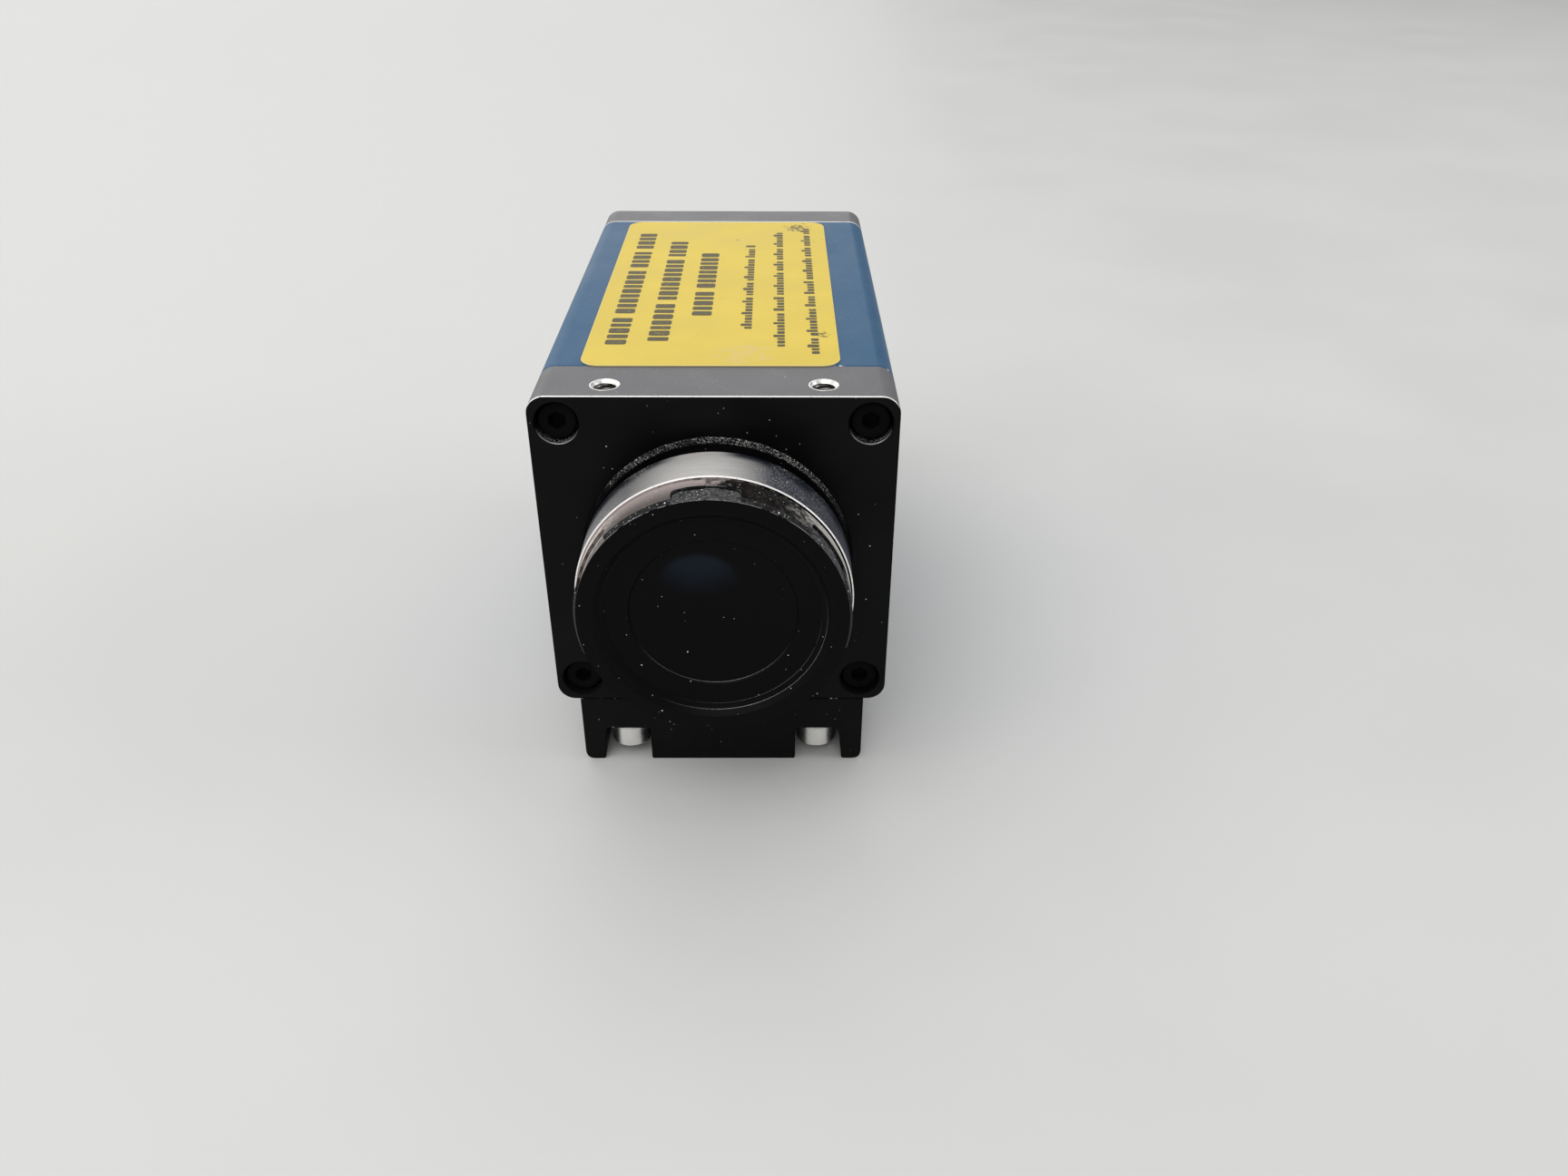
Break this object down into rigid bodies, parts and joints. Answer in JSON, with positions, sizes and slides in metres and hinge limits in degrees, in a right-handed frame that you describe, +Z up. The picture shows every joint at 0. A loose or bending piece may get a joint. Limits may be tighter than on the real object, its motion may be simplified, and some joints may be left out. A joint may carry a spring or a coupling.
{
  "type": "astronomy camera",
  "caption": "Compact square-bodied digital camera with a threaded lens mount closed by a screw-in dust cap, a blue extruded housing and a screwed-on tripod foot.",
  "frame": {"origin": "middle of the bounding box, on the plane that the tripod foot stands on", "axes": "+Z up; the lens points along -Y and the connectors along +Y; +X to the right seen from the front"},
  "size_m": [0.044, 0.102, 0.0549],
  "materials": {
    "blue_paint": "satin, fine dust",
    "grey_anodised": "dark satin anodised, worn bright on its edges",
    "black_anodised": "black satin anodised",
    "black_plastic": "smooth black, dusty",
    "rubber": "matte",
    "black_steel": "black oxide",
    "steel": "bright",
    "aluminium": "plain machined",
    "yellow_label": "printed film, satin",
    "glass": "coated, polished",
    "ceramic": "matte",
    "silicon": "polished",
    "circuit_board": "solder mask, satin",
    "chip_resin": "moulded",
    "thermal_pad": "soft, matte",
    "socket_plastic": "moulded",
    "clear_light": "clear, polished"
  },
  "bodies": {
    "housing": {"front_flange": "grey_anodised", "rear_panel": "grey_anodised", "body_shell": "blue_paint", "tripod_foot": "black_anodised", "front_screw_upper_left": "black_steel", "front_screw_upper_right": "black_steel", "front_screw_lower_left": "black_steel", "front_screw_lower_right": "black_steel", "rear_screw_upper_left": "black_steel", "rear_screw_upper_right": "black_steel", "rear_screw_lower_left": "black_steel", "rear_screw_lower_right": "black_steel", "mount_set_screw_left": "black_steel", "mount_set_screw_right": "black_steel", "foot_screw_front_left": "steel", "foot_screw_front_right": "steel", "foot_screw_rear_left": "steel", "foot_screw_rear_right": "steel", "foot_washer_front_left": "steel", "foot_washer_front_right": "steel", "foot_washer_rear_left": "steel", "foot_washer_rear_right": "steel", "top_thread_insert_left": "steel", "top_thread_insert_right": "steel", "sensor_board_screw_upper_left": "steel", "sensor_board_screw_upper_right": "steel", "sensor_board_screw_lower_left": "steel", "sensor_board_screw_lower_right": "steel", "bus_socket_shell_upper": "steel", "bus_socket_shell_lower": "steel", "io_connector_shell": "steel", "sensor_board_spacer_upper_left": "aluminium", "sensor_board_spacer_upper_right": "aluminium", "sensor_board_spacer_lower_left": "aluminium", "sensor_board_spacer_lower_right": "aluminium", "heat_spreader": "aluminium", "top_label": "yellow_label", "ccd_cover_glass": "glass", "ccd_package": "ceramic", "ccd_die": "silicon", "sensor_board": "circuit_board", "main_board": "circuit_board", "power_board": "circuit_board", "interface_board": "circuit_board", "processor_chip": "chip_resin", "thermal_pad": "thermal_pad", "bus_socket_insert_upper": "socket_plastic", "bus_socket_insert_lower": "socket_plastic", "io_connector_insert": "socket_plastic", "sensor_connector": "socket_plastic", "board_stack_connector": "socket_plastic", "interface_connector": "socket_plastic", "status_light": "clear_light"},
    "mount_ring": {"lens_mount_ring": "grey_anodised", "filter_retaining_ring": "black_anodised", "ir_filter": "glass", "filter_gasket": "rubber"},
    "cap_seal": {"cap_seal": "rubber"},
    "dust_cap": {"dust_cap": "black_plastic"}
  },
  "joints": [
    {"name": "back_focus_turn", "type": "hinge", "parent": "housing", "child": "mount_ring", "pos_m": [0, -0.0369, 0.0326], "axis": [0, -1, 0], "range_deg": [-15, 15]},
    {"name": "cap_travel", "type": "slide", "parent": "mount_ring", "child": "cap_seal", "axis": [0, -1, 0], "range_m": [0, 0.00357]},
    {"name": "cap_unscrew", "type": "hinge", "parent": "cap_seal", "child": "dust_cap", "pos_m": [0, -0.0466, 0.0326], "axis": [0, -1, 0], "range_deg": [0, 1620]}
  ],
  "couplings": [
    {"joint": "cap_unscrew", "follows": "cap_travel", "rad_per_m": 7915.8}
  ]
}
